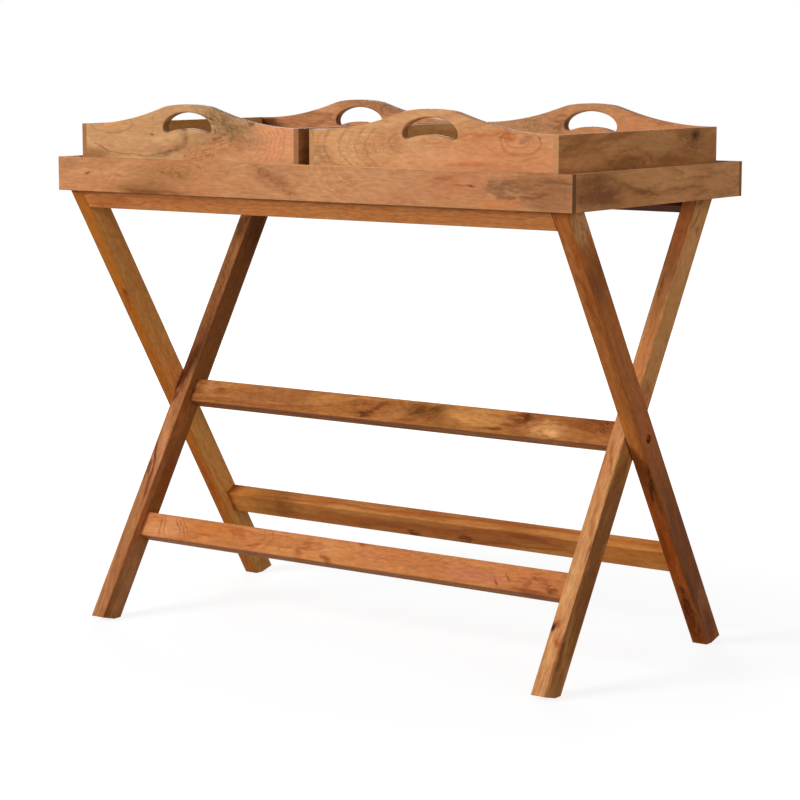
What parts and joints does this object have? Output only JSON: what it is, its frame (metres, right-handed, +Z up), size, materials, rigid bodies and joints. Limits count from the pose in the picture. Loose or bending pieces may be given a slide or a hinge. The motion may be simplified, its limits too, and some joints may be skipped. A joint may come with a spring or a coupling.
{
  "type": "butler tray table",
  "caption": "Folding table: crossed leg frames on pivot bolts carry a large low-walled tray that holds serving trays with wavy handle boards and kidney-shaped hand holes.",
  "frame": {"origin": "on the floor under the middle of the table", "axes": "+X to the right along the table, +Y to the rear, +Z up"},
  "size_m": [0.93, 0.49, 0.816],
  "materials": {
    "stand_wood": "oiled dark hardwood, satin",
    "large_tray_wood": "oiled warm brown hardwood with open figure, satin",
    "serving_tray_wood": "oiled tan hardwood with open figure, satin",
    "floor_wood": "oiled wood panel, satin",
    "dowel_wood": "bare beech",
    "bolt_steel": "browned steel",
    "pin_steel": "bright steel",
    "insert_brass": "turned brass",
    "washer_plastic": "dark nylon"
  },
  "bodies": {
    "outer_frame": {"outer_leg_left": "stand_wood", "outer_leg_right": "stand_wood", "front_top_rail": "stand_wood", "rear_lower_stretcher": "stand_wood", "outer_frame_dowels": "dowel_wood", "pivot_spacer_washers": "washer_plastic"},
    "inner_frame": {"inner_leg_left": "stand_wood", "inner_leg_right": "stand_wood", "rear_top_rail": "stand_wood", "middle_stretcher": "stand_wood", "front_lower_stretcher": "stand_wood", "inner_frame_dowels": "dowel_wood", "pivot_bolt_left": "bolt_steel", "pivot_bolt_right": "bolt_steel", "pivot_threaded_inserts": "insert_brass"},
    "large_tray": {"large_tray_back_board": "large_tray_wood", "large_tray_floor": "floor_wood", "large_tray_front_board": "large_tray_wood", "large_tray_left_board": "large_tray_wood", "large_tray_pins": "pin_steel", "large_tray_right_board": "large_tray_wood"},
    "serving_tray_left": {"serving_tray_left_back_handle_board": "serving_tray_wood", "serving_tray_left_floor": "floor_wood", "serving_tray_left_front_handle_board": "serving_tray_wood", "serving_tray_left_left_side_board": "serving_tray_wood", "serving_tray_left_pins": "pin_steel", "serving_tray_left_right_side_board": "serving_tray_wood"},
    "serving_tray_right": {"serving_tray_right_back_handle_board": "serving_tray_wood", "serving_tray_right_floor": "floor_wood", "serving_tray_right_front_handle_board": "serving_tray_wood", "serving_tray_right_left_side_board": "serving_tray_wood", "serving_tray_right_pins": "pin_steel", "serving_tray_right_right_side_board": "serving_tray_wood"}
  },
  "joints": [
    {"name": "stand_fold", "type": "hinge", "parent": "outer_frame", "child": "inner_frame", "pos_m": [0, 0, 0.3425], "axis": [1, 0, 0], "range_deg": [0, 56.5]},
    {"name": "large_tray_lift", "type": "slide", "parent": "outer_frame", "child": "large_tray", "axis": [0, 0, 1], "range_m": [0, 0.3]},
    {"name": "serving_tray_left_lift", "type": "slide", "parent": "large_tray", "child": "serving_tray_left", "axis": [0, 0, 1], "range_m": [0, 0.25]},
    {"name": "serving_tray_right_lift", "type": "slide", "parent": "large_tray", "child": "serving_tray_right", "axis": [0, 0, 1], "range_m": [0, 0.25]}
  ],
  "couplings": [
    {"joint": "large_tray_lift", "follows": "stand_fold", "m_per_rad": 0.3}
  ]
}
